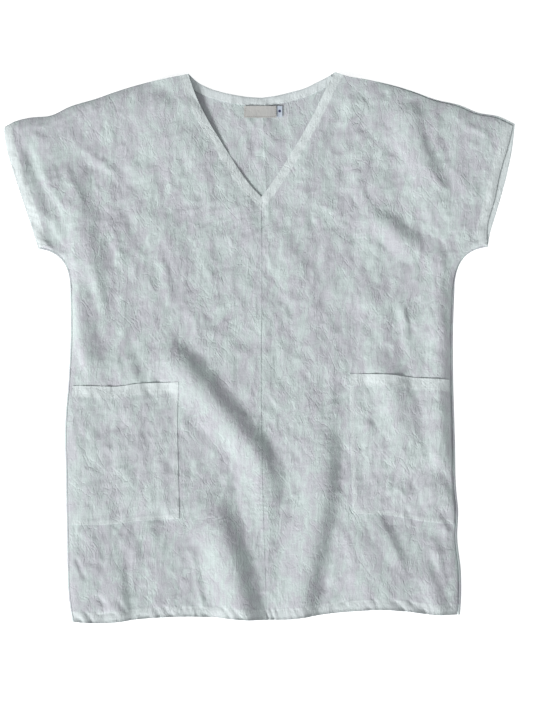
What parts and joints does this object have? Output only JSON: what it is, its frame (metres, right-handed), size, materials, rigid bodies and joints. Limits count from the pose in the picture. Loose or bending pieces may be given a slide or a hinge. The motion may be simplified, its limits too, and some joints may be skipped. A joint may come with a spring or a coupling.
{
  "type": "tunic top",
  "caption": "Loose linen tunic top laid flat, with a V neck, cut-on short sleeves, a centre-front seam and patch pockets at the side seams.",
  "frame": {"origin": "on the surface the tunic lies on, under the middle of its bounding box", "axes": "+X towards the wearer's left sleeve, +Y from hem to neck, +Z out of the front"},
  "size_m": [0.766, 0.8269, 0.0177],
  "materials": {
    "linen": "matt plain-woven linen, off-white",
    "facing_linen": "matt linen, double layer",
    "label_cloth": "woven cotton tape, undyed",
    "tab_cloth": "smooth woven ribbon, pale blue"
  },
  "bodies": {
    "root": {"front_right": "linen", "front_left": "linen", "back_right": "linen", "back_left": "linen", "pocket_right": "linen", "pocket_left": "linen", "neck_facing": "facing_linen", "label": "label_cloth", "size_tab": "tab_cloth"}
  },
  "joints": []
}
